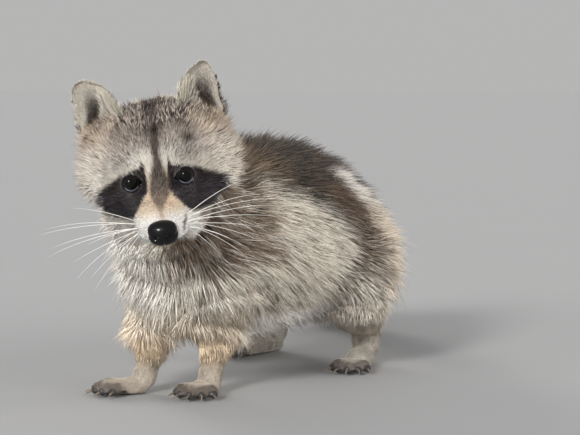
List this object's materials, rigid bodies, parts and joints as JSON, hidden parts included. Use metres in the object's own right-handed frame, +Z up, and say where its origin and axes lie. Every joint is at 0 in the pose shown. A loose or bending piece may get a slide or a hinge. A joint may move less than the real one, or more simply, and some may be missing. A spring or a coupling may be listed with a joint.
{
  "type": "raccoon",
  "caption": "Life-size standing raccoon in full coat, head turned to its left and lowered, with a black mask, pale brows, grey-brown back and ringed tail laid behind.",
  "frame": {"origin": "on the floor, under the middle of the animal's box", "axes": "+Z up, the animal faces -Y and its left side is +X"},
  "size_m": [0.2674, 0.6948, 0.3027],
  "materials": {
    "coat": "dense grizzled fur with a black mask, cream brows and a ringed tail",
    "foot_skin": "bare dark skin with fine creases",
    "eye": "wet dark eye",
    "nose": "moist pebbled black nose",
    "claw": "worn horn"
  },
  "bodies": {
    "root": {"claw_forefoot_left_1": "claw", "claw_forefoot_left_2": "claw", "claw_forefoot_left_3": "claw", "claw_forefoot_left_4": "claw", "claw_forefoot_left_5": "claw", "claw_forefoot_right_1": "claw", "claw_forefoot_right_2": "claw", "claw_forefoot_right_3": "claw", "claw_forefoot_right_4": "claw", "claw_forefoot_right_5": "claw", "claw_hindfoot_left_1": "claw", "claw_hindfoot_left_2": "claw", "claw_hindfoot_left_3": "claw", "claw_hindfoot_left_4": "claw", "claw_hindfoot_left_5": "claw", "claw_hindfoot_right_1": "claw", "claw_hindfoot_right_2": "claw", "claw_hindfoot_right_3": "claw", "claw_hindfoot_right_4": "claw", "claw_hindfoot_right_5": "claw", "ear_left": "coat", "ear_right": "coat", "eye_left": "eye", "eye_right": "eye", "forearm_left": "coat", "forearm_right": "coat", "forefoot_left": "foot_skin", "forefoot_right": "foot_skin", "head": "coat", "hindfoot_left": "foot_skin", "hindfoot_right": "foot_skin", "neck": "coat", "nose": "nose", "shank_left": "coat", "shank_right": "coat", "tail_middle": "coat", "tail_root": "coat", "tail_tip": "coat", "thigh_left": "coat", "thigh_right": "coat", "trunk": "coat", "upper_foreleg_left": "coat", "upper_foreleg_right": "coat"}
  },
  "joints": []
}
